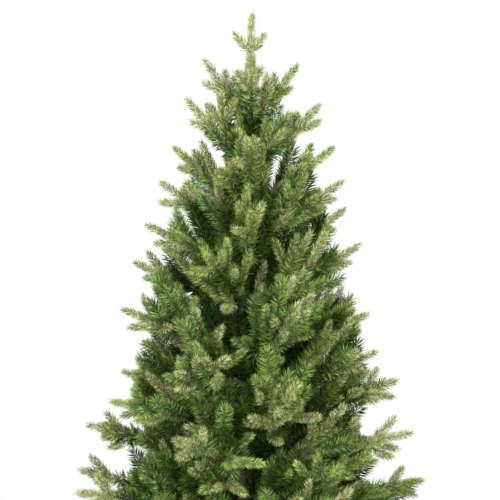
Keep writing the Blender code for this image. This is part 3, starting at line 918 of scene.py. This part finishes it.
def make_pole(paint):
    """Three tubes with a rolled rim where each is plugged into the next, and a bevelled collar a tier."""
    low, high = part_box("trunk_pole")
    steps = [(collar_height(tier) + COLLAR_HEIGHT / 2, "collar") for tier in TIERS]
    steps += [(joint, "joint") for joint in POLE_JOINTS]
    profile = [(0, high.z), (POLE_RADII[-1] - EDGE, high.z), (POLE_RADII[-1], high.z - EDGE)]
    for height, kind in sorted(steps, reverse=True):
        section = sum(height > joint for joint in POLE_JOINTS)
        if kind == "joint":
            profile += joint_profile(POLE_RADII[section + 1], POLE_RADII[section], height)
        else:
            profile += collar_profile(POLE_RADII[section], height)
    profile += [(POLE_RADII[0], low.z + EDGE), (POLE_RADII[0] - EDGE, low.z), (0, low.z)]
    pole = lathed("pole_tubes", profile, POLE_FACETS, paint)
    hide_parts("trunk_pole")


def edges_of(made):
    """The edges of what an operator has made, each once and in order."""
    return list(dict.fromkeys(edge for vert in made["verts"] for edge in vert.link_edges))


def bevelled(bm, edges, offset):
    """Cuts back these edges, a little rounded."""
    bmesh.ops.bevel(bm, geom=edges, offset=offset, segments=2, affect="EDGES", profile=0.6)


def placed_box(bm, size, place, bevel):
    """A box with bevelled edges, added to a bmesh."""
    made = bmesh.ops.create_cube(bm, size=1.0, matrix=place @ Matrix.Diagonal((*size, 1)))
    bevelled(bm, edges_of(made), bevel)


def placed_rod(bm, radius, length, place, sides=14):
    """A rod along its own Z with bevelled ends, added to a bmesh."""
    made = bmesh.ops.create_cone(
        bm, cap_ends=True, segments=sides, radius1=radius, radius2=radius, depth=length, matrix=place
    )
    rims = [edge for edge in edges_of(made) if any(len(face.verts) > 4 for face in edge.link_faces)]
    bevelled(bm, rims, radius * ROD_EDGE)


def make_hinges(boughs, paint, steel):
    """At each bough's foot, two cheeks that stand out from the collar, and the pin through them."""
    cheeks, pins = bmesh.new(), bmesh.new()
    for bough in boughs:
        bearing = math.atan2(bough.root.y, bough.root.x)
        turn = Matrix.Rotation(bearing, 4, "Z")
        for side in (-1, 1):
            middle = Vector((COLLAR_RADIUS + CHEEK_OUT, side * CHEEK_SIDE, bough.root.z))
            placed_box(cheeks, CHEEK_SIZE, turn @ Matrix.Translation(middle), CHEEK_EDGE)
        middle = Vector((COLLAR_RADIUS + PIN_OUT, 0, bough.root.z))
        across = Matrix.Rotation(math.radians(90), 4, "X")
        placed_rod(pins, PIN_RADIUS, PIN_LENGTH, turn @ Matrix.Translation(middle) @ across)
    hinges = bmesh_piece("hinge_cheeks", cheeks, paint)
    rods = bmesh_piece("hinge_pins", pins, steel)


def make_bare_boughs(boughs, surface):
    """The lowest boughs' bare feet: wire wound with a strip, whose turns stand out."""
    for bough in boughs:
        if not bough.bare:
            continue
        way = (bough.tip - bough.root).normalized()
        growth = straight(bough.root, way, bough.bare)
        points, faces = tube_mesh([growth], [(BOUGH_RADIUS, STEM_RADII[0])], sides=12, step=0.0015, twist=0)
        axis, root = np.array(way), np.array(bough.root)
        offset = points - root
        along = offset @ axis
        radial = offset - along[:, None] * axis
        side, up = crosswise(axis[None])
        turn = np.arctan2(radial @ up[0], radial @ side[0])
        ridge = 0.5 + 0.5 * np.cos(turn - along * math.tau / WIND_PITCH)
        swell = 1 - WIND_DEPTH + WIND_DEPTH * ridge
        points = root + along[:, None] * axis + radial * swell[:, None]
        piece = mesh_piece(f"wound_bough_{bough.label}", (points, faces), surface)
        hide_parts(f"bough_{bough.label}")


def make_hub(paint, steel):
    """The stand's socket: a tube with rolled rims, and three thumb screws that grip the pole."""
    low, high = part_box("stand_hub")
    bore = POLE_RADII[0] + SOLID_GAP
    rim = HUB_RADIUS
    wall = HUB_RADIUS - SOCKET_WALL
    profile = (
        (0, low.z + HUB_FLOOR),
        (bore, low.z + HUB_FLOOR),
        (bore, high.z - EDGE),
        (bore + EDGE, high.z),
        (rim - EDGE, high.z),
        (rim, high.z - SOCKET_EDGE),
        (rim, high.z - SOCKET_RIM),
        (wall, high.z - SOCKET_SLOPE),
        (wall, low.z + SOCKET_SLOPE),
        (rim, low.z + SOCKET_RIM),
        (rim, low.z + EDGE),
        (rim - EDGE, low.z),
        (0, low.z),
    )
    hub = lathed("hub_socket", profile, SOCKET_FACETS, paint)
    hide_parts("stand_hub")
    screws = bmesh.new()
    height = high.z - SCREW_DROP
    lying = Matrix.Rotation(math.radians(90), 4, "Y")
    for number in range(SCREWS):
        turn = Matrix.Rotation(math.radians(90 + 360 / SCREWS * number), 4, "Z")
        for radius, length, sides, out in SCREW_RODS:
            place = turn @ Matrix.Translation((HUB_RADIUS + out, 0, height)) @ lying
            placed_rod(screws, radius, length, place, sides)
        wing = turn @ Matrix.Translation((HUB_RADIUS + WING_OUT, 0, height))
        placed_box(screws, WING_SIZE, wing, WING_EDGE)
    piece = bmesh_piece("hub_thumb_screws", screws, steel)


def leg_outline():
    """The leg seen from its side, from the hub out."""
    inner = HUB_RADIUS + SOLID_GAP
    top = HUB_BOTTOM + HUB_HEIGHT - LEG_SHOULDER / 2
    return (
        (inner, top),
        (inner + LEG_SHOULDER, top),
        (STAND_REACH - FOOT_LENGTH / 2, FOOT_DEPTH + LEG_SHOULDER / 4),
        (STAND_REACH, FOOT_DEPTH),
        (STAND_REACH, 0.0),
        (STAND_REACH - FOOT_LENGTH, 0.0),
        (inner + LEG_SHOULDER, top - LEG_DEPTH),
        (inner, top - LEG_DEPTH),
    )


def make_legs(paint, rubber):
    """Four pressed channels, hollow below, each with a soft cap on its foot."""
    for number in range(STAND_LEGS):
        bm = bmesh.new()
        half = LEG_THICKNESS / 2
        near = [bm.verts.new((x, -half, z)) for x, z in leg_outline()]
        far = [bm.verts.new((x, half, z)) for x, z in leg_outline()]
        bm.faces.new(near)
        bm.faces.new(far[::-1])
        rim = []
        for k in range(len(near)):
            following = (k + 1) % len(near)
            rim.append(bm.faces.new((near[k], far[k], far[following], near[following])))
        below = rim[UNDERSIDE]
        bmesh.ops.recalc_face_normals(bm, faces=bm.faces)
        bmesh.ops.inset_region(bm, faces=[below], thickness=CHANNEL_WALL, depth=0)
        bmesh.ops.translate(bm, verts=list(below.verts), vec=CHANNEL_DEPTH)
        sharp = [edge for edge in bm.edges if edge.calc_face_angle(0) > math.radians(LEG_SHARP)]
        bevelled(bm, sharp, LEG_EDGE)
        turn = Matrix.Rotation(STAND_TURN + number * math.tau / STAND_LEGS, 4, "Z")
        bmesh.ops.transform(bm, matrix=turn, verts=bm.verts)
        leg = bmesh_piece(f"channel_leg_{number + 1}", bm, paint)
        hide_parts(f"stand_leg_{number + 1}")
        cap = bmesh.new()
        middle = Matrix.Translation((STAND_REACH - CAP_BACK, 0, CAP_SIZE[2] / 2))
        placed_box(cap, CAP_SIZE, turn @ middle, CAP_EDGE)
        piece = bmesh_piece(f"foot_cap_{number + 1}", cap, rubber)


# ---- studio


def area_light(name, place, target, size, power):
    """A white round light that faces its target."""
    light = bpy.data.lights.new(name, "AREA")
    light.shape = "DISK"
    light.size = size
    light.energy = power
    obj = bpy.data.objects.new(name, light)
    obj.location = place
    obj.rotation_euler = (Vector(target) - Vector(place)).to_track_quat("-Z", "Y").to_euler()
    bpy.context.scene.collection.objects.link(obj)


def make_studio():
    """A white surround, a pale floor, a large key light at the upper left and a weaker one at the right."""
    scene = bpy.context.scene
    scene.view_settings.view_transform = "Standard"
    world = bpy.data.worlds.new("surround")
    world.use_nodes = True
    background = world.node_tree.nodes["Background"]
    background.inputs["Color"].default_value = (1, 1, 1, 1)
    background.inputs["Strength"].default_value = 1.0
    scene.world = world
    bm = bmesh.new()
    bmesh.ops.create_circle(bm, cap_ends=True, segments=96, radius=FLOOR_RADIUS)
    mesh = bpy.data.meshes.new("studio_floor")
    bm.to_mesh(mesh)
    bm.free()
    mesh.materials.append(material("floor_paint", (0.78, 0.78, 0.76), (0.82, 0.82, 0.80), 0.7, 3))
    floor = bpy.data.objects.new("studio_floor", mesh)
    floor.location.z = -FLOOR_DROP
    scene.collection.objects.link(floor)
    floor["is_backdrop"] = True
    crown_middle = (0, 0, 1.2)
    area_light("key_light", (-3.0, -5.2, 3.6), crown_middle, size=2.5, power=330)
    area_light("side_light", (2.8, -4.4, 1.0), crown_middle, size=2.5, power=200)


def make_camera():
    """Square to the front, at the height of the crown's middle and aimed a little up, as in the photo."""
    distance, height, half_width, sensor = 5.0, 1.25, 0.75, 36.0
    camera = bpy.data.cameras.new("camera")
    camera.sensor_width = sensor
    camera.lens = sensor * distance / (2 * half_width)
    obj = bpy.data.objects.new("camera", camera)
    obj.location = (0, -distance, height)
    target = Vector((0, 0, 1.38))
    obj.rotation_euler = (target - obj.location).to_track_quat("-Z", "Y").to_euler()
    bpy.context.scene.collection.objects.link(obj)
    bpy.context.scene.camera = obj


# ---- all of it

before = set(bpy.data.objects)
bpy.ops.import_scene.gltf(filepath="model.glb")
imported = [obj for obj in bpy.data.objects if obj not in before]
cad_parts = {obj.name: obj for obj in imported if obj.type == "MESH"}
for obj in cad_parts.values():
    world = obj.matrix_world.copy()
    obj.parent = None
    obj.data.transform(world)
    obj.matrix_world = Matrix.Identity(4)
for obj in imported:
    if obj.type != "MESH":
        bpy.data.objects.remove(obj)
model_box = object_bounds()
make_camera()
make_studio()
pole_paint = material(
    "pole_paint", (0.022, 0.046, 0.020), (0.034, 0.064, 0.030), 0.50, 30, bump=0.25, bump_grain=500, gloss=0.3
)
stand_paint = material(
    "stand_paint", (0.017, 0.040, 0.024), (0.026, 0.052, 0.032), 0.38, 30, bump=0.25, bump_grain=500
)
steel = material("bright_steel", (0.42, 0.42, 0.40), (0.58, 0.58, 0.56), 0.30, 80, metallic=1.0)
rubber = material(
    "foot_rubber", (0.018, 0.018, 0.017), (0.032, 0.032, 0.030), 0.75, 60, bump=0.3, bump_grain=900
)
crown, boughs = grow_crown()
foliage_nodes = [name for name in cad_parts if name.startswith("foliage_")]
wrapped = make_foliage(crown, foliage_nodes)
make_pole(pole_paint)
make_hinges(boughs, pole_paint, steel)
make_bare_boughs(boughs, wrapped)
make_hub(stand_paint, steel)
make_legs(stand_paint, rubber)

boxes = {"model": model_box, "visual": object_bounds()}
{name: [list(corner) for corner in box] for name, box in boxes.items()}
